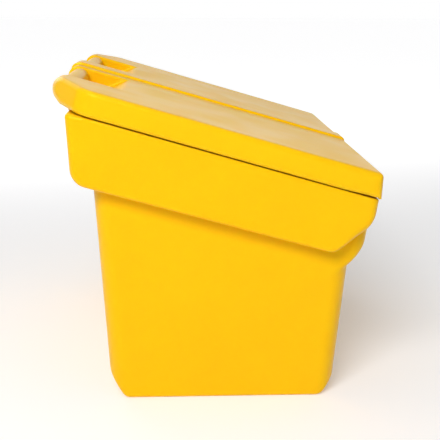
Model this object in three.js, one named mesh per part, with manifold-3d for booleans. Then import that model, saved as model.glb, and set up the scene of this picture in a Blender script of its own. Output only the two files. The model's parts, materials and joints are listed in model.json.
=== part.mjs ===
// A free-standing storage bin for grit or salt: a one-piece moulded tub with a deep rim band,
// and a sloping moulded lid that swings up on four short pins at the back.
// Millimetres, +Z up, front towards -Y, length along X, origin on the floor under the middle.

import * as THREE from 'three';
import { mergeVertices } from 'three/addons/utils/BufferGeometryUtils.js';
import Module from 'manifold-3d';

const wasm = await Module();
wasm.setup();

// ---- driving dimensions ---------------------------------------------------------------------

const WALL = 6; // moulded wall of the tub
const LID_WALL = 5.5;
const GAP = 0.3; // between pieces that touch

const HALF_LENGTH = 533.5;
const HALF_DEPTH = 370.5;
const LID_PITCH = THREE.MathUtils.degToRad(16);

const HINGE_Y = 343.5;
const HINGE_Z = 733;
const ROLL_RADIUS = HALF_DEPTH - HINGE_Y; // the lid's rolled rear edge is concentric with the hinge
const KNUCKLE_RADIUS = 22;
const KNUCKLE_LEAD = 5; // the knuckle's round top stands this far in front of the hinge line

const LID_DEPTH = 60.5; // measured vertically
const LID_FRONT_LEAN = 3; // the front face steps back by this much at its foot
const LID_TAIL_Y = 340; // where the underside of the roll comes down to the parting plane
const LID_EDGE_RADIUS = 9;
// The cut rear corners, in the plane of the lid's lower edge: where each leaves the side, and a
// point further along it.
const LID_REAR_CORNER = { sideY: 302, rearX: 405, rearY: 378.5 };

const RIB_HALF_WIDTH = 40;
const RIB_HEIGHT = 6;

const POCKET_INNER_X = 96;
const POCKET_OUTER_X = 350;
const POCKET_FRONT_Y = 213.5;
const POCKET_END_Y = 297;
const POCKET_RAMP = THREE.MathUtils.degToRad(22.5);

const RIM_GAP = 3; // shadow gap between the lid and the rim
const LIP_HEIGHT = 14; // rain lip round the mouth
const LIP = { halfLength: 500, front: -340, rear: 268 };

const BAND_SIDE_INSET = 8;
const BAND_PITCH = THREE.MathUtils.degToRad(15.5);
const BAND_BOTTOM_Z = 446.9; // height of the band's lower edge at y = 0
const BAND_REAR = { topY: 330.5, bottomY: 322 };
const BAND_FRONT = { topY: -364, cutY: -355.5, cutZ: 439, toeY: -270 };
const BAND_EDGE_RADIUS = 9;

const LOBE = { frontY: -344, footY: -307, footZ: 326, bottomZ: 362 };

const BODY_HALF_LENGTH = 468; // at the floor
const BODY_SIDE_DRAFT = 0.033; // slope of the side walls
const BODY_FRONT = { bottomY: -283, draft: 0.086 };
const BODY_REAR = { bottomY: 249.5, draft: 0.057 };
const BODY_CORNER_RADIUS = 40;

const PIN_RADIUS = 6;
const PIN_HEAD = { radius: 10, thickness: 4 };
const CHEEK_GAP = 2.5; // between a knuckle and the lug beside it
const SPACER_RADIUS = 13;
const RETAINER = { radius: 10, thickness: 3.5 };
const PIN_TIP = 5; // how far a pin stands out past its retainer

const ROUND_STEPS = 4; // facets in a quarter of an edge rounding
const SHAFT_SIDES = 32;

// ---- sloping planes -------------------------------------------------------------------------

const slope = Math.tan(LID_PITCH);
const lidTopZ = (y) => HINGE_Z + ROLL_RADIUS / Math.cos(LID_PITCH) + (y - HINGE_Y) * slope;
const partingZ = (y) => lidTopZ(y) - LID_DEPTH;
const rimZ = (y) => partingZ(y) - RIM_GAP;
const bandBottomZ = (y) => BAND_BOTTOM_Z + y * Math.tan(BAND_PITCH);
const pocketZ = (y) => lidTopZ(POCKET_FRONT_Y) - (y - POCKET_FRONT_Y) * Math.tan(POCKET_RAMP);

// ---- outlines and solids --------------------------------------------------------------------

// Where two straight edges meet once both are moved inwards. An edge is { point, direction }.
function meet(first, second, inset) {
  const inward = (edge) => new THREE.Vector2(-edge.direction.y, edge.direction.x).multiplyScalar(inset);
  const from = first.point.clone().add(inward(first));
  const to = second.point.clone().add(inward(second)).sub(from);
  const along = to.cross(second.direction) / first.direction.cross(second.direction);
  return from.addScaledVector(first.direction, along);
}

// Points of a convex outline with rounded corners, given anticlockwise as [a, b, radius],
// moved inwards by `inset`.
function outline(corners, inset = 0) {
  const points = corners.map(([a, b]) => new THREE.Vector2(a, b));
  const edges = points.map((point, i) => {
    const next = points[(i + 1) % points.length];
    return { point, direction: next.clone().sub(point).normalize() };
  });
  return corners.flatMap(([, , radius = 0], i) => {
    const before = edges[(i + edges.length - 1) % edges.length];
    const after = edges[i];
    if (radius <= inset) return [meet(before, after, inset)];
    const centre = meet(before, after, radius);
    const start = before.direction.angle() - Math.PI / 2;
    const turn = Math.atan2(before.direction.cross(after.direction), before.direction.dot(after.direction));
    const steps = Math.max(1, Math.round((turn / (Math.PI / 2)) * ROUND_STEPS));
    return Array.from({ length: steps + 1 }, (_, k) => {
      const angle = start + (turn * k) / steps;
      const arm = new THREE.Vector2(Math.cos(angle), Math.sin(angle)).multiplyScalar(radius - inset);
      return arm.add(centre);
    });
  });
}

function solid(geometry) {
  const bare = geometry.index ? geometry.toNonIndexed() : geometry.clone();
  bare.deleteAttribute('normal');
  bare.deleteAttribute('uv');
  const merged = mergeVertices(bare, 1e-4);
  const mesh = new wasm.Mesh({
    numProp: 3,
    vertProperties: merged.attributes.position.array,
    triVerts: merged.index.array,
  });
  return new wasm.Manifold(mesh);
}

function geometryOf(manifold) {
  const mesh = manifold.getMesh();
  const geometry = new THREE.BufferGeometry();
  geometry.setAttribute('position', new THREE.BufferAttribute(mesh.vertProperties, 3));
  geometry.setIndex(new THREE.BufferAttribute(mesh.triVerts, 1));
  const flat = geometry.toNonIndexed();
  flat.computeVertexNormals();
  return flat;
}

function extrusion(points, depth, edge = 0) {
  return new THREE.ExtrudeGeometry(new THREE.Shape(points), {
    depth: depth - 2 * edge,
    bevelEnabled: edge > 0,
    bevelThickness: edge,
    bevelSize: edge,
    bevelOffset: -edge,
    bevelSegments: ROUND_STEPS - 1,
    curveSegments: 1,
  }).translate(0, 0, edge);
}

// A solid of constant side profile: `points` are (y, z), swept along X from x0 to x1.
function across(points, x0, x1, edge = 0) {
  const swing = new THREE.Matrix4().makeBasis(
    new THREE.Vector3(0, 1, 0),
    new THREE.Vector3(0, 0, 1),
    new THREE.Vector3(1, 0, 0),
  );
  return solid(extrusion(points, x1 - x0, edge).applyMatrix4(swing).translate(x0, 0, 0));
}

// A solid of constant plan: `points` are (x, y), raised from z0 to z1.
function upright(points, z0, z1) {
  return solid(extrusion(points, z1 - z0).translate(0, 0, z0));
}

function disc(x0, x1, radius) {
  const geometry = new THREE.CylinderGeometry(radius, radius, x1 - x0, SHAFT_SIDES);
  geometry.rotateZ(Math.PI / 2).translate((x0 + x1) / 2, HINGE_Y, HINGE_Z);
  return solid(geometry);
}

// ---- lid ------------------------------------------------------------------------------------

// The lid seen from above: upright front corners, and rear corners cut square to the lid's slope.
function lidPlan(inset) {
  const back = HALF_DEPTH + 50;
  const fronts = outline([
    [-HALF_LENGTH, -HALF_DEPTH, 18],
    [HALF_LENGTH, -HALF_DEPTH, 18],
    [HALF_LENGTH, back],
    [-HALF_LENGTH, back],
  ], inset);
  const { sideY, rearX, rearY } = LID_REAR_CORNER;
  const alongSlope = 1 / Math.cos(LID_PITCH);
  const rears = outline([
    [-HALF_LENGTH, -2 * HALF_DEPTH],
    [HALF_LENGTH, -2 * HALF_DEPTH],
    [HALF_LENGTH, sideY * alongSlope, 26],
    [rearX, rearY * alongSlope, 60],
    [-rearX, rearY * alongSlope, 60],
    [-HALF_LENGTH, sideY * alongSlope, 26],
  ], inset);
  const tall = 200;
  const sloping = extrusion(rears, 2 * tall).translate(0, 0, -tall).rotateX(LID_PITCH)
    .translate(0, 0, partingZ(0));
  return upright(fronts, 0, HINGE_Z + 100).intersect(solid(sloping));
}

// Side profile of the lid: the sloping top, the leaning front and the rolled rear edge.
function lidProfile(inset) {
  const footY = -HALF_DEPTH + LID_FRONT_LEAN;
  const toTail = new THREE.Vector2(HINGE_Y - LID_TAIL_Y, HINGE_Z - partingZ(LID_TAIL_Y));
  const tailAngle = toTail.angle() - Math.asin(ROLL_RADIUS / toTail.length());
  const tailZ = partingZ(LID_TAIL_Y) + (HALF_DEPTH - LID_TAIL_Y) * Math.tan(tailAngle);
  return outline([
    [footY, partingZ(footY)],
    [LID_TAIL_Y, partingZ(LID_TAIL_Y)],
    [HALF_DEPTH, tailZ, ROLL_RADIUS],
    [HALF_DEPTH, lidTopZ(HALF_DEPTH), ROLL_RADIUS],
    [-HALF_DEPTH, lidTopZ(-HALF_DEPTH), LID_EDGE_RADIUS],
  ], inset);
}

// The space of one hinge pocket, `grow` larger than the pocket itself.
function pocketSpace(side, grow) {
  const front = POCKET_FRONT_Y - grow / Math.tan(POCKET_RAMP / 2 + LID_PITCH / 2);
  const tall = HINGE_Z + 100;
  const floor = (y) => pocketZ(y) - grow / Math.cos(POCKET_RAMP);
  const points = [
    [front, floor(front)],
    [POCKET_END_Y - grow, floor(POCKET_END_Y - grow)],
    [POCKET_END_Y - grow, partingZ(POCKET_END_Y) - 60],
    [HALF_DEPTH + 60, partingZ(POCKET_END_Y) - 60],
    [HALF_DEPTH + 60, tall],
    [front, tall],
  ].map(([y, z]) => new THREE.Vector2(y, z));
  const near = POCKET_INNER_X - grow;
  const far = POCKET_OUTER_X + grow;
  return side > 0 ? across(points, near, far) : across(points, -far, -near);
}

function lidForm(inset) {
  const slab = across(lidProfile(inset), -HALF_LENGTH + inset, HALF_LENGTH - inset, inset ? 0 : 8);
  const whole = slab.intersect(lidPlan(inset));
  const opened = inset ? whole.add(lidMouth(inset)) : whole;
  return opened.subtract(pocketSpace(1, inset)).subtract(pocketSpace(-1, inset));
}

// The open underside of the lid, a little way up inside the skirts, so that they end square.
function lidMouth(inset) {
  const front = -HALF_DEPTH + LID_FRONT_LEAN + inset;
  const rear = LID_TAIL_Y - inset;
  const rise = 8;
  const drop = 30;
  const section = [
    [front, partingZ(front) - drop],
    [rear, partingZ(rear) - drop],
    [rear, partingZ(rear) + rise],
    [front, partingZ(front) + rise],
  ].map(([y, z]) => new THREE.Vector2(y, z));
  return across(section, -HALF_LENGTH + inset, HALF_LENGTH - inset).intersect(lidPlan(inset));
}

// The raised panel along the middle of the lid, from the front edge back over the roll.
function lidRib(inset) {
  const half = RIB_HALF_WIDTH - inset;
  const end = HALF_DEPTH - inset;
  const keep = [
    [-end, lidTopZ(-end) - 25],
    [end, lidTopZ(end) - 40],
    [end, HINGE_Z + 100],
    [-end, HINGE_Z + 100],
  ].map(([y, z]) => new THREE.Vector2(y, z));
  return across(lidProfile(inset - RIB_HEIGHT), -half, half).intersect(across(keep, -half, half));
}

function lid() {
  const outer = lidForm(0).add(lidRib(0));
  const hollow = lidForm(LID_WALL).add(lidRib(LID_WALL));
  const holes = hingeSeats().map(({ lugFace, out }) => {
    const ends = [lugFace - out, lugFace + out * (LID_WALL + 1)];
    return disc(Math.min(...ends), Math.max(...ends), PIN_RADIUS + GAP);
  });
  return holes.reduce((shape, hole) => shape.subtract(hole), outer.subtract(hollow));
}

// ---- tub ------------------------------------------------------------------------------------

function bandForm(inset) {
  const { topY: rearTop, bottomY: rearBottom } = BAND_REAR;
  const { topY: frontTop, cutY, cutZ, toeY } = BAND_FRONT;
  const profile = outline([
    [frontTop, rimZ(frontTop), BAND_EDGE_RADIUS],
    [cutY, cutZ, 16],
    [toeY, bandBottomZ(toeY), 14],
    [rearBottom, bandBottomZ(rearBottom), 27],
    [rearTop, rimZ(rearTop), BAND_EDGE_RADIUS],
  ], inset);
  const half = HALF_LENGTH - BAND_SIDE_INSET - inset;
  const plan = outline([
    [-half, frontTop + inset, 22],
    [half, frontTop + inset, 22],
    [half, rearTop - inset, 22],
    [-half, rearTop - inset, 22],
  ]);
  return across(profile, -half, half, inset ? 0 : 8).intersect(upright(plan, 0, HINGE_Z));
}

// A box with drafted walls and rounded upright corners, from the floor to `top`.
function drafted(frontY, frontDraft, top, inset) {
  const half = BODY_HALF_LENGTH - inset;
  const front = frontY + inset;
  const rear = BODY_REAR.bottomY - inset;
  const radius = BODY_CORNER_RADIUS - inset;
  const plan = outline([
    [-half, front, radius],
    [half, front, radius],
    [half, rear, radius],
    [-half, rear, radius],
  ]);
  const geometry = extrusion(plan, top);
  const place = geometry.attributes.position;
  for (let i = 0; i < place.count; i += 1) {
    const z = place.getZ(i);
    const spread = place.getY(i) > 0 ? BODY_REAR.draft : -frontDraft;
    place.setX(i, place.getX(i) + Math.sign(place.getX(i)) * BODY_SIDE_DRAFT * z);
    place.setY(i, place.getY(i) + spread * z);
  }
  return solid(geometry);
}

// The body below the band, with its base edges cut back all round. Its top reaches up into the
// band: by 25 mm, or as a hollow by 40.
function bodyForm(inset) {
  const reach = inset ? 40 : 25;
  const roof = bandBottomZ(BODY_REAR.bottomY) + 60;
  const topZ = (y) => bandBottomZ(y) + reach;
  const wide = HALF_DEPTH;
  const profile = outline([
    [-wide, topZ(-wide)],
    [-wide, 120],
    [BODY_FRONT.bottomY - 4, 36, 10],
    [-256, 0, 16],
    [216, 0, 16],
    [BODY_REAR.bottomY + 3, 52, 10],
    [wide, 120],
    [wide, topZ(wide)],
  ], inset);
  const end = BODY_HALF_LENGTH;
  const endProfile = outline([
    [-HALF_LENGTH, roof],
    [-HALF_LENGTH, 120],
    [-end - 3, 12],
    [-end + 12, 0],
    [end - 12, 0],
    [end + 3, 12],
    [HALF_LENGTH, 120],
    [HALF_LENGTH, roof],
  ], inset);
  const lengthways = solid(
    extrusion(endProfile, 2 * HALF_DEPTH).rotateX(Math.PI / 2).translate(0, HALF_DEPTH, 0),
  );
  return drafted(BODY_FRONT.bottomY, BODY_FRONT.draft, roof, inset)
    .intersect(across(profile, -HALF_LENGTH, HALF_LENGTH))
    .intersect(lengthways);
}

// The lower bulge of the band across the front, as long as the body below it.
function lobeForm(inset) {
  const { frontY, footY, footZ, bottomZ } = LOBE;
  const { topY } = BAND_FRONT;
  const lean = (frontY - topY) / (rimZ(topY) - bottomZ);
  const back = -150;
  const profile = outline([
    [topY, rimZ(topY)],
    [frontY, bottomZ, 20],
    [footY, footZ, 8],
    [back, footZ],
    [back, rimZ(back)],
  ], inset);
  return across(profile, -HALF_LENGTH, HALF_LENGTH)
    .intersect(drafted(frontY + lean * bottomZ, lean, 560, inset))
    .intersect(bandCeiling(inset));
}

// Everything below the rounded front of the rim, to keep the lobe inside the band up there.
function bandCeiling(inset) {
  const top = rimZ(BAND_FRONT.topY) - BAND_EDGE_RADIUS - inset;
  return upright(outline([
    [-HALF_LENGTH, -HALF_DEPTH],
    [HALF_LENGTH, -HALF_DEPTH],
    [HALF_LENGTH, 0],
    [-HALF_LENGTH, 0],
  ]), 0, top);
}

function knuckleForm(side, inset) {
  const rearY = BAND_REAR.topY - 2.5;
  const baseZ = 640;
  const rearZ = 654;
  const middleY = HINGE_Y - KNUCKLE_LEAD;
  const toTail = new THREE.Vector2(middleY - rearY, HINGE_Z - rearZ);
  const tailAngle = toTail.angle() - Math.asin(KNUCKLE_RADIUS / toTail.length());
  const farY = middleY + KNUCKLE_RADIUS;
  const profile = outline([
    [302, baseZ],
    [rearY, baseZ],
    [rearY, rearZ],
    [farY, rearZ + (farY - rearY) * Math.tan(tailAngle), KNUCKLE_RADIUS],
    [farY, HINGE_Z + KNUCKLE_RADIUS, KNUCKLE_RADIUS],
    [middleY - KNUCKLE_RADIUS, HINGE_Z + KNUCKLE_RADIUS, KNUCKLE_RADIUS],
    [302, 690],
  ], inset);
  const near = POCKET_INNER_X + CHEEK_GAP + inset;
  const far = POCKET_OUTER_X - CHEEK_GAP - inset;
  return side > 0 ? across(profile, near, far) : across(profile, -far, -near);
}

// The raised lip round the mouth, from `below` under the rim plane to `above` over it.
function lipForm(inset, below, above) {
  const half = LIP.halfLength - inset;
  const plan = outline([
    [-half, LIP.front + inset, 45 - inset],
    [half, LIP.front + inset, 45 - inset],
    [half, LIP.rear - inset, 45 - inset],
    [-half, LIP.rear - inset, 45 - inset],
  ]);
  const section = [
    [LIP.front, rimZ(LIP.front) - below],
    [LIP.rear, rimZ(LIP.rear) - below],
    [LIP.rear, rimZ(LIP.rear) + above],
    [LIP.front, rimZ(LIP.front) + above],
  ].map(([y, z]) => new THREE.Vector2(y, z));
  return upright(plan, 0, HINGE_Z + 100).intersect(across(section, -half, half));
}

function tub() {
  const outer = bandForm(0)
    .add(bodyForm(0))
    .add(lobeForm(0))
    .add(knuckleForm(1, 0))
    .add(knuckleForm(-1, 0))
    .add(lipForm(0, WALL, LIP_HEIGHT));
  const hollow = bandForm(WALL)
    .add(bodyForm(WALL))
    .add(lobeForm(WALL))
    .add(knuckleForm(1, WALL))
    .add(knuckleForm(-1, WALL))
    .add(lipForm(WALL, 20, LIP_HEIGHT + 20));
  const holes = hingeSeats().map(({ knuckleFace, out }) => {
    const ends = [knuckleFace + out, knuckleFace - out * (WALL + 1)];
    return disc(Math.min(...ends), Math.max(...ends), PIN_RADIUS + GAP);
  });
  return holes.reduce((shape, hole) => shape.subtract(hole), outer.subtract(hollow));
}

// ---- hinge hardware -------------------------------------------------------------------------

// The four places where a knuckle's cheek stands beside a lug's: `out` points from knuckle to lug.
function hingeSeats() {
  return [
    { name: 'left_outer', lugFace: -POCKET_OUTER_X, out: -1 },
    { name: 'left_inner', lugFace: -POCKET_INNER_X, out: 1 },
    { name: 'right_inner', lugFace: POCKET_INNER_X, out: -1 },
    { name: 'right_outer', lugFace: POCKET_OUTER_X, out: 1 },
  ].map((seat) => ({ ...seat, knuckleFace: seat.lugFace - seat.out * CHEEK_GAP }));
}

// A ring or pin turned about the hinge axis, from its section [distance out from `start`, radius].
function turned(section, start, out) {
  const points = section.map(([along, radius]) => new THREE.Vector2(radius, along * out));
  if (out < 0) points.reverse();
  const geometry = new THREE.LatheGeometry(points, SHAFT_SIDES);
  geometry.rotateZ(-Math.PI / 2).translate(start, HINGE_Y, HINGE_Z);
  return geometryOf(solid(geometry));
}

function pinGeometry({ knuckleFace, out }) {
  const shank = WALL + CHEEK_GAP + LID_WALL + GAP + RETAINER.thickness + PIN_TIP;
  const head = PIN_HEAD.thickness;
  return turned([
    [-head, 0],
    [-head, PIN_HEAD.radius - 1.5],
    [-head + 1.5, PIN_HEAD.radius],
    [0, PIN_HEAD.radius],
    [0, PIN_RADIUS],
    [shank - 1.5, PIN_RADIUS],
    [shank, PIN_RADIUS - 1.5],
    [shank, 0],
  ], knuckleFace - out * (WALL + GAP), out);
}

function spacerGeometry({ knuckleFace, out }) {
  const bore = PIN_RADIUS + GAP;
  const thickness = CHEEK_GAP - 2 * GAP;
  return turned([
    [0, bore],
    [0, SPACER_RADIUS],
    [thickness, SPACER_RADIUS],
    [thickness, bore],
    [0, bore],
  ], knuckleFace + out * GAP, out);
}

function retainerGeometry({ lugFace, out }) {
  const bore = PIN_RADIUS + 0.05;
  const { radius, thickness } = RETAINER;
  return turned([
    [0, bore],
    [0, radius],
    [1.5, radius],
    [thickness, radius - 2],
    [thickness, bore],
    [0, bore],
  ], lugFace + out * (LID_WALL + GAP), out);
}

// ---- assembly -------------------------------------------------------------------------------

function part(name, geometry, colour, roughness, metalness) {
  const material = new THREE.MeshStandardMaterial({ color: colour, roughness, metalness });
  const mesh = new THREE.Mesh(geometry, material);
  mesh.name = name;
  return mesh;
}

const bin = new THREE.Group();
bin.add(part('tub', geometryOf(tub()), 0xfac805, 0.4, 0));
bin.add(part('lid', geometryOf(lid()), 0xfeca10, 0.4, 0));
for (const seat of hingeSeats()) {
  bin.add(part(`hinge_pin_${seat.name}`, pinGeometry(seat), 0xb8bcc0, 0.3, 1));
  bin.add(part(`hinge_spacer_${seat.name}`, spacerGeometry(seat), 0xe8e6de, 0.5, 0));
  bin.add(part(`pin_retainer_${seat.name}`, retainerGeometry(seat), 0x9a9da0, 0.35, 1));
}

export default bin;
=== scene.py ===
"""A moulded storage bin with a sloping hinged lid, in a plain pale studio.

The tub and the lid are each described by a field: a function of (x, y, z), in millimetres, that is
negative inside the plastic's outer surface and close to the distance from it. Rounded edges and
fillets come from joining fields with a radius. A net of quads is drawn over each field, and a
second net, over a field of the hollow inside, is cut out of it.
"""

import json
import math

import bmesh
import bpy
import numpy as np
from mathutils import Matrix, Quaternion, Vector


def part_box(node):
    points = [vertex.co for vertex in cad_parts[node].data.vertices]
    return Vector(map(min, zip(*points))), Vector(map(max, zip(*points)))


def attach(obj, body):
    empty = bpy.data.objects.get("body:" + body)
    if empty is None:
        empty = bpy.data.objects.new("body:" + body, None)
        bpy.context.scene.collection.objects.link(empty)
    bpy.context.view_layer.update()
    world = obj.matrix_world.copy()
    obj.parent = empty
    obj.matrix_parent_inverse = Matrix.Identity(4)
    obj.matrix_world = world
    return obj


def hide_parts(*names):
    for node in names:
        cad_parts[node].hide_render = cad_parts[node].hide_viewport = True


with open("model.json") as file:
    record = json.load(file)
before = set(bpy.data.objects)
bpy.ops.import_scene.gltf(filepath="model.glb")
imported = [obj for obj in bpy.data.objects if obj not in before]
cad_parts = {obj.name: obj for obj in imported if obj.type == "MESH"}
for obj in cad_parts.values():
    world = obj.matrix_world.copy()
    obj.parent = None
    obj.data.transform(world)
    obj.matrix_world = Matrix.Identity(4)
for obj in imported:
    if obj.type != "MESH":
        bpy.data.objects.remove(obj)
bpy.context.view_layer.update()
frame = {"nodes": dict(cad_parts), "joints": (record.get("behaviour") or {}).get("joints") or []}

# ---- sizes, in millimetres, +Z up, front towards -Y -----------------------------------------

MM = 0.001
hinge_joint = frame["joints"][0]
HINGE_Y = hinge_joint["pos_m"][1] / MM
HINGE_Z = hinge_joint["pos_m"][2] / MM
HALF_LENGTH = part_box("lid")[1].x / MM
HALF_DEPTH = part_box("lid")[1].y / MM

PITCH = math.radians(16)
SLOPE = math.tan(PITCH)
PIN_HOLE_RADIUS = 6.3

# The lid. Each rear corner is cut from CORNER_SIDE_Y on the end to CORNER_REAR, an (x, y).
LID_WALL = 5.5
ROLL_RADIUS = HALF_DEPTH - HINGE_Y
LID_DEPTH = 60.5
LID_FRONT_LEAN = 3
LID_TAIL_Y = 350
LID_FRONT_EDGE = 9
LID_SIDE_EDGE = 12
LID_FRONT_CORNER_EDGE = 16
CORNER_SIDE_Y = 302
CORNER_REAR = (422, 368.4)
CORNER_RADIUS = 26
HOLLOW_RUN_ON = 40
HOLLOW_FILLET = 2
SKIRT_CUT_ABOVE = 8
SKIRT_CUT_BELOW = 30
RIB_HALF_WIDTH = 40
RIB_HEIGHT = 6
RIB_ROOT = 30
RIB_END_EDGE = 9
RIB_SIDE_EDGE = 2.5
RIB_FILLET = 2.5
POCKET_INNER_X = 96
POCKET_OUTER_X = 350
POCKET_FRONT_Y = 213.5
POCKET_END_Y = 297
POCKET_RAMP = math.radians(22.5)
POCKET_FLOOR_FILLET = 2
POCKET_CORNER = 7
POCKET_EDGE = 4.5

# The tub's rim, and the lip that stands up inside it round the mouth.
TUB_WALL = 6
FRONT_RIM_GAP = 0.9
REAR_RIM_GAP = 2.3
LIP_HEIGHT = 14
LIP_ROOT = 8
LIP_HALF_LENGTH = 500
LIP_FRONT_Y = -340
LIP_REAR_Y = 268
LIP_CORNER = 45
LIP_TOP_EDGE = 2.5
LIP_ROOT_EDGE = 1
LIP_FILLET = 4
THROAT_REACH = 28

# The tub's band, with points as (y, z).
BAND_HALF_LENGTH = HALF_LENGTH - 8
BAND_FRONT_TOP = (-364, 495)
BAND_FRONT_FOOT = (-355.5, 439)
BAND_CUT_FOOT = (-270.5, 377)
BAND_BOTTOM_FRONT = (-270, 372)
BAND_BOTTOM_REAR = (322, 536.2)
BAND_REAR_FOOT = (322, 536.3)
BAND_REAR_TOP = (330.5, 693)
BAND_CUT_RADIUS = 17
BAND_BOTTOM_RADIUS = 10
BAND_REAR_RADIUS = 27
BAND_LOWER_EDGE = 9
BAND_UPRIGHT_EDGE = 17
BAND_TOP_FRONT_EDGE = 3
BAND_TOP_REAR_EDGE = 13

# The tub's body and the lobe across its front. Cuts and the ramp run between points (y, z).
BODY_HALF_LENGTH = 468
BODY_SIDE_DRAFT = 0.033
BODY_FRONT_DRAFT = 0.086
BODY_REAR_DRAFT = 0.057
BODY_BOTTOM_FRONT_Y = -283
BODY_BOTTOM_REAR_Y = 249.5
BODY_CORNER = 40
BODY_FRONT_CUT = ((-287, 37), (-256, 0))
BODY_REAR_CUT = ((216, 0), (252, 52))
BODY_CUT_RADIUS = 11
BODY_BASE_EDGE = 9
BODY_TOP_Z = 507
BODY_TOP_PITCH = math.radians(15.5)
BODY_TOP_SCALE = 0.96
BODY_FILLET = 7
LOBE_FRONT_Y = -291
LOBE_REAR_Y = -150
LOBE_DRAFT = 0.148
LOBE_CORNER = 30
LOBE_RAMP = ((-345, 366), (-306, 329))
LOBE_RAMP_RADIUS = 14
LOBE_BELOW_RIM = 12
LOBE_FILLET = 4

# The hinge knuckles. The foot is at (y, z).
CHEEK_GAP = 2.5
KNUCKLE_RADIUS = 22
KNUCKLE_LEAD = 5
KNUCKLE_FOOT = (318, 652)
KNUCKLE_FOOT_RADIUS = 13
KNUCKLE_EDGE = 4
KNUCKLE_FILLET = 6

# ---- camera, in metres ----------------------------------------------------------------------

SENSOR_WIDTH_MM = 36
LENS_MM = 71.84
CAMERA_PLACE = (-2.4136, 0.0816, 0.9332)
CAMERA_AHEAD = (0.96838, -0.04511, -0.24536)
CAMERA_ROLL = 0.0046


def lid_top_z(y):
    return HINGE_Z + ROLL_RADIUS / math.cos(PITCH) + (y - HINGE_Y) * SLOPE


def parting_z(y):
    return lid_top_z(y) - LID_DEPTH


def rim_z(y):
    gap = FRONT_RIM_GAP + (REAR_RIM_GAP - FRONT_RIM_GAP) * (y + HALF_DEPTH) / (2 * HALF_DEPTH)
    return parting_z(y) - gap


# ---- fields ---------------------------------------------------------------------------------


def both(a, b, radius):
    """Where two fields overlap, with the edge between them rounded."""
    corner = np.hypot(np.maximum(a + radius, 0), np.maximum(b + radius, 0))
    return np.minimum(np.maximum(a, b), -radius) + corner


def either(a, b, radius):
    """Two fields joined, with a fillet in the corner between them."""
    return -both(-a, -b, radius)


def side_of(a, b, start, end):
    """Distance to the right of the line from start to end."""
    run, rise = end[0] - start[0], end[1] - start[1]
    length = math.hypot(run, rise)
    return ((a - start[0]) * rise - (b - start[1]) * run) / length


def smooth(value, low, high):
    t = np.clip((value - low) / (high - low), 0, 1)
    return t * t * (3 - 2 * t)


def drafted_box(x, y, z, front, front_draft, rear, rear_draft, corner):
    """Upright walls that lean outwards as they rise, with rounded upright corners.

    A draft is a wall's run for each unit of rise, small enough to serve as its angle too.
    """
    ends = (np.abs(x) - BODY_HALF_LENGTH - BODY_SIDE_DRAFT * z) * math.cos(BODY_SIDE_DRAFT)
    front_face = (front - front_draft * z - y) * math.cos(front_draft)
    rear_face = (y - rear - rear_draft * z) * math.cos(rear_draft)
    return both(np.maximum(front_face, rear_face), ends, corner)


def body_field(x, y, z):
    front = (BODY_BOTTOM_FRONT_Y, BODY_FRONT_DRAFT)
    rear = (BODY_BOTTOM_REAR_Y, BODY_REAR_DRAFT)
    walls = drafted_box(x, y, z, *front, *rear, BODY_CORNER)
    front_cut = side_of(y, z, *BODY_FRONT_CUT)
    rear_cut = side_of(y, z, *BODY_REAR_CUT)
    base = both(both(-z, front_cut, BODY_CUT_RADIUS), rear_cut, BODY_CUT_RADIUS)
    whole = both(walls, base, BODY_BASE_EDGE)
    ceiling = (z - (BODY_TOP_Z + y * math.tan(BODY_TOP_PITCH))) * BODY_TOP_SCALE
    return np.maximum(whole, ceiling)


def band_field(x, y, z):
    """The band's end edges are rounder on its uprights, and its top edge is rounder at the rear."""
    top = (z - rim_z(y)) * math.cos(PITCH)
    rear = side_of(y, z, BAND_REAR_FOOT, BAND_REAR_TOP)
    front = side_of(y, z, BAND_FRONT_TOP, BAND_FRONT_FOOT)
    cut = side_of(y, z, BAND_FRONT_FOOT, BAND_CUT_FOOT)
    bottom = side_of(y, z, BAND_BOTTOM_FRONT, BAND_BOTTOM_REAR)
    around = both(front, cut, BAND_CUT_RADIUS)
    around = both(around, bottom, BAND_BOTTOM_RADIUS)
    around = both(around, rear, BAND_REAR_RADIUS)
    upright = smooth(np.maximum(front, rear) - bottom, -45, 25)
    end_edge = BAND_LOWER_EDGE + (BAND_UPRIGHT_EDGE - BAND_LOWER_EDGE) * upright
    rearward = smooth(rear, -60, 0)
    top_edge = BAND_TOP_FRONT_EDGE + (BAND_TOP_REAR_EDGE - BAND_TOP_FRONT_EDGE) * rearward
    ends = np.abs(x) - BAND_HALF_LENGTH
    return both(both(around, ends, end_edge), top, top_edge)


def lobe_field(x, y, z):
    walls = drafted_box(x, y, z, LOBE_FRONT_Y, LOBE_DRAFT, LOBE_REAR_Y, 0, LOBE_CORNER)
    ramp = side_of(y, z, *LOBE_RAMP)
    ceiling = (z - rim_z(y) + LOBE_BELOW_RIM) * math.cos(PITCH)
    return np.maximum(both(walls, ramp, LOBE_RAMP_RADIUS), ceiling)


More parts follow.
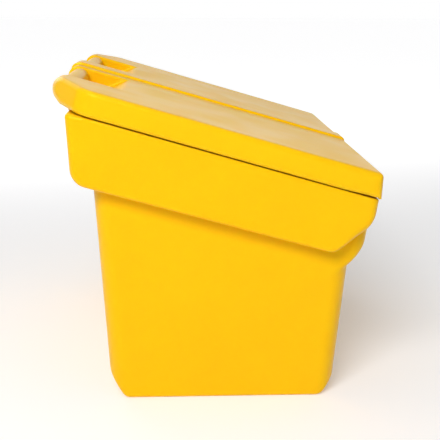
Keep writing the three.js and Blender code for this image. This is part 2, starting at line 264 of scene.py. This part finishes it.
def knuckle_field(x, y, z):
    """A rounded wedge from the hinge line down to the rear wall, at each pocket."""
    foot_y, foot_z = KNUCKLE_FOOT
    lean = HINGE_Y - KNUCKLE_LEAD - foot_y
    length = math.hypot(lean, HINGE_Z - foot_z)
    along_y, along_z = lean / length, (HINGE_Z - foot_z) / length
    height = (y - foot_y) * along_y + (z - foot_z) * along_z
    across = np.abs((y - foot_y) * along_z - (z - foot_z) * along_y)
    sine = (KNUCKLE_FOOT_RADIUS - KNUCKLE_RADIUS) / length
    cosine = math.sqrt(1 - sine * sine)
    reach = across * -sine + height * cosine
    low = np.hypot(across, height) - KNUCKLE_FOOT_RADIUS
    high = np.hypot(across, height - length) - KNUCKLE_RADIUS
    flank = across * cosine + height * sine - KNUCKLE_FOOT_RADIUS
    profile = np.where(reach < 0, low, np.where(reach > length * cosine, high, flank))
    middle = (POCKET_INNER_X + POCKET_OUTER_X) / 2
    half = (POCKET_OUTER_X - POCKET_INNER_X) / 2 - CHEEK_GAP
    cheeks = np.abs(np.abs(x) - middle) - half
    return both(profile, cheeks, KNUCKLE_EDGE)


def mouth_walls(x, y, inset):
    half_depth = (LIP_REAR_Y - LIP_FRONT_Y) / 2 - inset
    middle = (LIP_REAR_Y + LIP_FRONT_Y) / 2
    ends = np.abs(x) - LIP_HALF_LENGTH + inset
    return both(ends, np.abs(y - middle) - half_depth, LIP_CORNER - inset)


def lip_field(x, y, z):
    top = (z - rim_z(y) - LIP_HEIGHT) * math.cos(PITCH)
    bottom = (rim_z(y) - LIP_ROOT - z) * math.cos(PITCH)
    return both(both(mouth_walls(x, y, 0), top, LIP_TOP_EDGE), bottom, LIP_ROOT_EDGE)


def tub_field(x, y, z):
    shape = either(band_field(x, y, z), body_field(x, y, z), BODY_FILLET)
    shape = either(shape, lobe_field(x, y, z), LOBE_FILLET)
    shape = either(shape, knuckle_field(x, y, z), KNUCKLE_FILLET)
    return either(shape, lip_field(x, y, z), LIP_FILLET)


def tub_hollow(x, y, z):
    """The room inside the tub, with a throat that opens it at the lip."""
    away = np.abs(z - rim_z(y) - LIP_HEIGHT) * math.cos(PITCH) - THROAT_REACH
    throat = np.maximum(mouth_walls(x, y, TUB_WALL), away)
    return np.minimum(tub_field(x, y, z) + TUB_WALL, throat)


def lid_profile(y, z, foot):
    """The lid in side view: sloping top, leaning front, and a rolled rear edge round the hinge."""
    top = (z - lid_top_z(y)) * math.cos(PITCH)
    front_foot = -HALF_DEPTH + LID_FRONT_LEAN
    front = side_of(y, z, (-HALF_DEPTH, lid_top_z(-HALF_DEPTH)), (front_foot, parting_z(front_foot)))
    bottom = (parting_z(y) - foot - z) * math.cos(PITCH)
    tail = (HINGE_Y - LID_TAIL_Y, HINGE_Z - parting_z(LID_TAIL_Y))
    climb = math.atan2(tail[1], tail[0]) - math.asin(ROLL_RADIUS / math.hypot(*tail))
    under = (y - LID_TAIL_Y) * math.sin(climb) - (z - parting_z(LID_TAIL_Y)) * math.cos(climb)
    past_top = (y - HINGE_Y) * math.cos(PITCH) + (z - HINGE_Z) * math.sin(PITCH)
    past_under = (y - HINGE_Y) * math.cos(climb) + (z - HINGE_Z) * math.sin(climb)
    roll = np.hypot(y - HINGE_Y, z - HINGE_Z) - ROLL_RADIUS
    behind = np.where((past_top > 0) & (past_under > 0), roll, np.maximum(top, under))
    return np.maximum(both(behind, front, LID_FRONT_EDGE), bottom)


def lid_ends(x, y, z):
    """The lid's outline, with rear corners cut square to the slope of the lid."""
    reach = np.abs(x)
    foot_y = y + (z - parting_z(y)) * math.cos(PITCH) * math.sin(PITCH)
    cut = side_of(reach, foot_y, (HALF_LENGTH, CORNER_SIDE_Y), CORNER_REAR)
    return both(reach - HALF_LENGTH, cut, CORNER_RADIUS)


def pocket_field(x, y, z):
    ramp_z = lid_top_z(POCKET_FRONT_Y) - (y - POCKET_FRONT_Y) * math.tan(POCKET_RAMP)
    ramp = (ramp_z - z) * math.cos(POCKET_RAMP)
    floor = either(ramp, POCKET_END_Y - y, POCKET_FLOOR_FILLET)
    middle = (POCKET_INNER_X + POCKET_OUTER_X) / 2
    half = (POCKET_OUTER_X - POCKET_INNER_X) / 2
    return both(floor, np.abs(np.abs(x) - middle) - half, POCKET_CORNER)


def rib_field(x, y, z):
    top = (z - lid_top_z(y)) * math.cos(PITCH) - RIB_HEIGHT
    roll = np.hypot(y - HINGE_Y, z - HINGE_Z) - ROLL_RADIUS - RIB_HEIGHT
    past_top = (y - HINGE_Y) * math.cos(PITCH) + (z - HINGE_Z) * math.sin(PITCH)
    cover = np.where(past_top > 0, roll, top)
    ends = np.abs(y) - HALF_DEPTH
    bottom = (lid_top_z(y) - RIB_ROOT - z) * math.cos(PITCH)
    profile = np.maximum(both(cover, ends, RIB_END_EDGE), bottom)
    return both(profile, np.abs(x) - RIB_HALF_WIDTH, RIB_SIDE_EDGE)


def lid_shell(x, y, z, foot):
    """The lid without pockets or rib, run on below the parting by `foot`."""
    front_corner = smooth(-y, HALF_DEPTH - 90, HALF_DEPTH - 30)
    edge = LID_SIDE_EDGE + (LID_FRONT_CORNER_EDGE - LID_SIDE_EDGE) * front_corner
    return both(lid_profile(y, z, foot), lid_ends(x, y, z), edge)


def lid_field(x, y, z):
    shape = both(lid_shell(x, y, z, 0), -pocket_field(x, y, z), POCKET_EDGE)
    return either(shape, rib_field(x, y, z), RIB_FILLET)


def lid_hollow(x, y, z):
    """The room inside the lid, open below, with the skirts cut square at their feet."""
    inner = lid_shell(x, y, z, HOLLOW_RUN_ON) + LID_WALL
    above = (z - parting_z(y) - SKIRT_CUT_ABOVE) * math.cos(PITCH)
    below = (parting_z(y) - SKIRT_CUT_BELOW - z) * math.cos(PITCH)
    foot = np.maximum(above, below)
    reach = np.maximum(-HALF_DEPTH + LID_FRONT_LEAN + LID_WALL - y, y - LID_TAIL_Y + LID_WALL)
    mouth = np.maximum(np.maximum(foot, reach), lid_ends(x, y, z) + LID_WALL)
    room = np.minimum(inner, mouth)
    room = both(room, LID_WALL - pocket_field(x, y, z), HOLLOW_FILLET)
    return np.minimum(room, rib_field(x, y, z) + LID_WALL)


# ---- nets over fields -----------------------------------------------------------------------


def graded(*stretches):
    """Grid lines from stretches of (start, end, step)."""
    lines = [
        np.linspace(start, end, max(2, round((end - start) / step) + 1))[:-1]
        for start, end, step in stretches
    ]
    return np.append(np.concatenate(lines), stretches[-1][1])


def mirrored(lines):
    return np.unique(np.concatenate((-lines, lines)))


CELL_CORNERS = [(i, j, k) for i in (0, 1) for j in (0, 1) for k in (0, 1)]
CELL_EDGES = [
    (a, b)
    for a in CELL_CORNERS
    for b in CELL_CORNERS
    if sum(np.subtract(b, a)) == 1 and min(np.subtract(b, a)) >= 0
]


def gradient(field, points, step=0.3):
    columns = []
    for axis in range(3):
        shift = np.zeros(3)
        shift[axis] = step
        ahead = field(*(points + shift).T)
        behind = field(*(points - shift).T)
        columns.append((ahead - behind) / (2 * step))
    return np.stack(columns, axis=1)


def settle(field, points, limit=3.0, rounds=4):
    """Moves points onto the surface of a field."""
    for _ in range(rounds):
        slope = gradient(field, points)
        steep = np.maximum((slope * slope).sum(1), 0.05)
        move = -(field(*points.T) / steep)[:, None] * slope
        length = np.maximum(np.linalg.norm(move, axis=1), 1e-9)
        points = points + move * np.minimum(1, limit / length)[:, None]
    return points


def net(field, xs, ys, heights, slant):
    """Vertices and quads of a field's surface. `slant` gives each height's shear along y."""
    x, y, h = np.meshgrid(xs, ys, heights, indexing="ij")
    z = h + y * slant(h)
    nodes = np.stack((x, y, z), axis=-1)
    values = field(x, y, z)
    inside = values < 0
    shape = tuple(n - 1 for n in values.shape)

    def corner(array, offset):
        i, j, k = offset
        return array[i : i + shape[0], j : j + shape[1], k : k + shape[2]]

    filled = sum(corner(inside, c).astype(np.int8) for c in CELL_CORNERS)
    cells = np.argwhere((filled > 0) & (filled < 8))
    number = np.full(shape, -1)
    number[tuple(cells.T)] = np.arange(len(cells))
    total = np.zeros((len(cells), 3))
    count = np.zeros(len(cells))
    for a, b in CELL_EDGES:
        start, end = tuple((cells + a).T), tuple((cells + b).T)
        crossed = inside[start] != inside[end]
        low, high = values[start][crossed], values[end][crossed]
        share = (low / (low - high))[:, None]
        total[crossed] += nodes[start][crossed] * (1 - share) + nodes[end][crossed] * share
        count[crossed] += 1
    vertices = total / count[:, None]
    quads = []
    for axis in range(3):
        u, v = [(1, 2), (2, 0), (0, 1)][axis]
        ahead = np.take(inside, range(1, inside.shape[axis]), axis=axis)
        here = np.take(inside, range(inside.shape[axis] - 1), axis=axis)
        edges = np.argwhere(ahead != here)
        edges = edges[(edges[:, u] > 0) & (edges[:, v] > 0)]
        edges = edges[(edges[:, u] < shape[u]) & (edges[:, v] < shape[v])]
        ring = []
        for du, dv in ((-1, -1), (0, -1), (0, 0), (-1, 0)):
            cell = edges.copy()
            cell[:, u] += du
            cell[:, v] += dv
            ring.append(number[tuple(cell.T)])
        ring = np.stack(ring, axis=1)
        leaving = here[tuple(edges.T)]
        quads.append(np.where(leaving[:, None], ring, ring[:, ::-1]))
    return settle(field, vertices), np.concatenate(quads)


def mesh_object(name, node, vertices, faces):
    """A mesh from vertices in millimetres, none of them outside the box of a CAD node."""
    low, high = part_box(node)
    mesh = bpy.data.meshes.new(name)
    mesh.from_pydata(np.clip(vertices * MM, low, high).tolist(), [], faces.tolist())
    mesh.validate()
    mesh.update()
    thing = bpy.data.objects.new(name, mesh)
    bpy.context.scene.collection.objects.link(thing)
    return thing


def cut(thing, tool):
    """Takes one closed mesh out of another and drops the tool."""
    modifier = thing.modifiers.new("cut", "BOOLEAN")
    modifier.operation = "DIFFERENCE"
    modifier.solver = "MANIFOLD"
    modifier.object = tool
    graph = bpy.context.evaluated_depsgraph_get()
    result = bpy.data.meshes.new_from_object(thing.evaluated_get(graph))
    thing.modifiers.clear()
    thing.data = result
    bpy.data.objects.remove(tool)


def hinge_holes(offset, depth):
    """Short round cutters on the hinge line, one at each pin."""
    shapes = bmesh.new()
    for reach, out in ((POCKET_OUTER_X, 1), (POCKET_INNER_X, -1)):
        for side in (-1, 1):
            place = Matrix.Translation((side * (reach + out * offset) * MM, HINGE_Y * MM, HINGE_Z * MM))
            turn = Matrix.Rotation(math.pi / 2, 4, "Y")
            bmesh.ops.create_cone(
                shapes,
                cap_ends=True,
                segments=48,
                radius1=PIN_HOLE_RADIUS * MM,
                radius2=PIN_HOLE_RADIUS * MM,
                depth=depth * MM,
                matrix=place @ turn,
            )
    mesh = bpy.data.meshes.new("hinge_holes")
    shapes.to_mesh(mesh)
    shapes.free()
    thing = bpy.data.objects.new("hinge_holes", mesh)
    bpy.context.scene.collection.objects.link(thing)
    return thing


def shade(thing):
    """Smooth shading, sharp where one surface meets another."""
    thing.data.shade_smooth()
    thing.data.set_sharp_from_angle(angle=math.radians(38))


def make_tub():
    """The tub, with grid lines close together where its edges and fillets lie."""
    cheeks = ((0, 92, 18.4), (92, 106, 3.5), (106, 338, 19), (338, 354, 3.5))
    xs = mirrored(graded(*cheeks, (354, 434, 20), (434, 534, 4)))
    ys = graded((-376, -240, 4.6), (-240, 190, 18), (190, 374, 4.6))
    heights = graded((-8, 64, 4.5), (64, 404, 19), (404, 480, 4.4), (480, 560, 8), (560, 668, 4.4))

    def slant(height):
        """Level at the base, and sloping like the rim from the band up."""
        return SLOPE * smooth(height, 60, 440)

    tub = mesh_object("tub_moulding", "tub", *net(tub_field, xs, ys, heights, slant))
    cut(tub, mesh_object("tub_hollow", "tub", *net(tub_hollow, xs, ys, heights, slant)))
    cut(tub, hinge_holes(-CHEEK_GAP - TUB_WALL / 2, TUB_WALL + 3))
    shade(tub)
    return tub


def make_lid():
    """The lid, with grid lines close together where its edges and fillets lie."""
    rib_and_pocket = ((0, 32, 16), (32, 50, 3), (50, 86, 12), (86, 106, 2.9), (106, 340, 18))
    xs = mirrored(graded(*rib_and_pocket, (340, 358, 3), (358, 398, 8), (398, 538, 4)))
    ys = graded((-376, -340, 3.6), (-340, 200, 18), (200, 376, 3.6))
    base = parting_z(0)
    heights = graded((base - 46, base - 10, 9), (base - 10, base + 80, 3.2))

    def slant(height):
        return np.full_like(height, SLOPE)

    lid = mesh_object("lid_moulding", "lid", *net(lid_field, xs, ys, heights, slant))
    cut(lid, mesh_object("lid_hollow", "lid", *net(lid_hollow, xs, ys, heights, slant)))
    cut(lid, hinge_holes(LID_WALL / 2, LID_WALL + 2))
    shade(lid)
    return lid


# ---- materials ------------------------------------------------------------------------------


def remap(tree, value, low, high, start, end):
    """Values from low to high eased into start to end, and held there outside."""
    node = tree.nodes.new("ShaderNodeMapRange")
    node.interpolation_type = "SMOOTHSTEP"
    tree.links.new(value, node.inputs["Value"])
    limits = {"From Min": low, "From Max": high, "To Min": start, "To Max": end}
    for key, limit in limits.items():
        if isinstance(limit, bpy.types.NodeSocket):
            tree.links.new(limit, node.inputs[key])
        else:
            node.inputs[key].default_value = limit
    return node.outputs["Result"]


class Shader:
    """A material under construction: makes nodes and joins them up."""

    def __init__(self, name):
        self.material = bpy.data.materials.new(name)
        self.material.use_nodes = True
        self.tree = self.material.node_tree
        self.surface = self.tree.nodes["Principled BSDF"]
        self.place = self.add("ShaderNodeTexCoord").outputs["Object"]

    def add(self, kind, **inputs):
        node = self.tree.nodes.new(kind)
        for key, value in inputs.items():
            self.feed(node.inputs[key.replace("_", " ")], value)
        return node

    def feed(self, socket, value):
        if isinstance(value, bpy.types.NodeSocket):
            self.tree.links.new(value, socket)
        else:
            socket.default_value = value

    def noise(self, scale, detail=2.0, stretch=(1, 1, 1)):
        """Noise from 0 to 1 whose grains are about 1/scale metres across."""
        mapping = self.add("ShaderNodeMapping", Vector=self.place, Scale=stretch)
        texture = self.add("ShaderNodeTexNoise", Vector=mapping.outputs[0], Scale=scale, Detail=detail)
        return texture.outputs["Fac"]

    def remap(self, value, low, high, start, end):
        return remap(self.tree, value, low, high, start, end)

    def blend(self, share, first, second):
        node = self.tree.nodes.new("ShaderNodeMix")
        node.data_type = "RGBA"
        self.feed(node.inputs["Factor"], share)
        for key, colour in (("A", first), ("B", second)):
            socket = [i for i in node.inputs if i.name == key and i.type == "RGBA"][0]
            self.feed(socket, (*colour, 1) if isinstance(colour, tuple) else colour)
        return [o for o in node.outputs if o.type == "RGBA"][0]

    def bump(self, height, depth, under=None):
        """Relief whose full height is `depth` metres."""
        node = self.add("ShaderNodeBump", Height=height, Distance=depth, Strength=1.0)
        if under:
            self.feed(node.inputs["Normal"], under)
        return node.outputs["Normal"]

    def set(self, **inputs):
        for key, value in inputs.items():
            if isinstance(value, tuple) and len(value) == 3 and key.endswith("Color"):
                value = (*value, 1)
            self.feed(self.surface.inputs[key.replace("_", " ")], value)


def moulded_plastic(name, colour, deeper):
    """Rotationally moulded polyethylene: satin, faintly mottled, with an orange-peel skin."""
    shader = Shader(name)
    cloud = shader.remap(shader.noise(6, 1), 0.2, 0.8, 0, 1)
    fleck = shader.remap(shader.noise(420, 1), 0.3, 0.7, 0, 1)
    body = shader.blend(cloud, colour, deeper)
    pale = tuple(min(1, c * 1.05 + 0.004) for c in colour)
    shade_share = shader.remap(fleck, 0, 1, 0, 0.35)
    shader.set(
        Base_Color=shader.blend(shade_share, body, pale),
        Roughness=shader.remap(shader.noise(9, 1), 0.2, 0.8, 0.28, 0.38),
        IOR=1.5,
        Specular_Tint=(1.0, 0.7, 0.08, 1),
        Subsurface_Weight=0.3,
        Subsurface_Radius=(0.016, 0.004, 0.0008),
        Subsurface_Scale=1.0,
    )
    waves = shader.bump(shader.noise(4, 0), 0.0004)
    peel = shader.bump(shader.noise(190, 1), 0.00001, waves)
    shader.set(Normal=peel)
    return shader.material


def turned_steel(name, colour, roughness):
    """Plated steel with fine turning marks round the X axis and a little cloudiness."""
    shader = Shader(name)
    rings = shader.noise(900, 2, (1, 0.04, 0.04))
    cloud = shader.noise(60, 3)
    darker = tuple(c * 0.72 for c in colour)
    shader.set(
        Base_Color=shader.blend(shader.remap(cloud, 0.35, 0.7, 0, 1), colour, darker),
        Metallic=1.0,
        Roughness=shader.remap(cloud, 0.3, 0.7, roughness - 0.07, roughness + 0.08),
        Normal=shader.bump(rings, 0.00006),
    )
    return shader.material


def nylon(name):
    """Off-white nylon, slightly translucent, with a fine sanded face."""
    shader = Shader(name)
    shader.set(
        Base_Color=shader.blend(shader.noise(90, 3), (0.80, 0.78, 0.70), (0.72, 0.69, 0.60)),
        Roughness=shader.remap(shader.noise(240, 2), 0.3, 0.7, 0.42, 0.55),
        Subsurface_Weight=0.2,
        Subsurface_Radius=(0.003, 0.0028, 0.0022),
        Subsurface_Scale=1.0,
        Normal=shader.bump(shader.noise(1500, 1), 0.00003),
    )
    return shader.material


# ---- studio ---------------------------------------------------------------------------------


def make_camera():
    data = bpy.data.cameras.new("camera")
    data.sensor_width = SENSOR_WIDTH_MM
    data.lens = LENS_MM
    camera = bpy.data.objects.new("camera", data)
    bpy.context.scene.collection.objects.link(camera)
    camera.location = CAMERA_PLACE
    camera.rotation_mode = "QUATERNION"
    aim = Vector(CAMERA_AHEAD).to_track_quat("-Z", "Y")
    camera.rotation_quaternion = aim @ Quaternion((0, 0, 1), CAMERA_ROLL)
    bpy.context.scene.camera = camera


def area_light(name, location, target, size, power):
    data = bpy.data.lights.new(name, "AREA")
    data.shape = "RECTANGLE"
    data.size, data.size_y = size
    data.energy = power
    light = bpy.data.objects.new(name, data)
    bpy.context.scene.collection.objects.link(light)
    light.location = location
    light.rotation_mode = "QUATERNION"
    light.rotation_quaternion = (Vector(target) - Vector(location)).to_track_quat("-Z", "Y")


def make_world():
    """White towards the horizon behind the bin, dim overhead and in front."""
    world = bpy.data.worlds.new("studio")
    bpy.context.scene.world = world
    world.use_nodes = True
    nodes, links = world.node_tree.nodes, world.node_tree.links
    place = nodes.new("ShaderNodeTexCoord")
    split = nodes.new("ShaderNodeSeparateXYZ")
    links.new(place.outputs["Generated"], split.inputs["Vector"])
    horizon = remap(world.node_tree, split.outputs["X"], 0.5, 0.96, 0.08, 1.0)
    strength = remap(world.node_tree, split.outputs["Z"], 0.2, 0.5, horizon, 0.3)
    links.new(strength, nodes["Background"].inputs["Strength"])
    nodes["Background"].inputs["Color"].default_value = (1, 1, 1, 1)


def make_floor():
    mesh = bpy.data.meshes.new("floor")
    size = 40
    corners = [(-size, -size, 0), (size, -size, 0), (size, size, 0), (-size, size, 0)]
    mesh.from_pydata(corners, [], [(0, 1, 2, 3)])
    floor = bpy.data.objects.new("floor", mesh)
    bpy.context.scene.collection.objects.link(floor)
    shader = Shader("floor")
    split = shader.add("ShaderNodeSeparateXYZ", Vector=shader.place)
    shader.set(
        Base_Color=(0.78, 0.78, 0.79),
        Roughness=0.9,
        Specular_IOR_Level=0.1,
        # Painted light: the floor glows as if it were a lamp, its glow rising from 0.24 at x = 0.5 m to
        # 0.74 at x = 4 m, behind the bin.
        Emission_Color=(1, 1, 1),
        Emission_Strength=remap(shader.tree, split.outputs["X"], 0.5, 4, 0.24, 0.74),
    )
    mesh.materials.append(shader.material)


def make_studio():
    make_world()
    make_floor()
    area_light("key", (-4.0, 1.3, 3.4), (0, 0, 0.4), (2.4, 1.7), 205)
    area_light("overhead", (0.2, 0.3, 4.5), (0, 0, 0), (4, 4), 25)
    area_light("back_fill", (4.2, 2.6, 2.6), (0, 0, 0.35), (2.5, 2.5), 30)
    bpy.context.scene.view_settings.view_transform = "Standard"


make_camera()
make_studio()
plastics = {
    "tub": (make_tub(), "bin", (0.93, 0.50, 0.003), (0.915, 0.48, 0.003)),
    "lid": (make_lid(), "lid", (0.94, 0.515, 0.004), (0.925, 0.495, 0.004)),
}
for node, (piece, body, colour, deeper) in plastics.items():
    slot = f"{node}_plastic"
    piece.data.materials.clear()
    piece.data.materials.append(moulded_plastic(slot, colour, deeper))
    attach(piece, body)
    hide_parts(node)
fittings = {
    "hinge_pin": turned_steel("pin_steel", (0.66, 0.67, 0.69), 0.3),
    "hinge_spacer": nylon("spacer_nylon"),
    "pin_retainer": turned_steel("retainer_steel", (0.42, 0.43, 0.45), 0.38),
}
for name, node in frame["nodes"].items():
    for kind, material in fittings.items():
        if name.startswith(kind):
            node.data.materials.clear()
            node.data.materials.append(material)
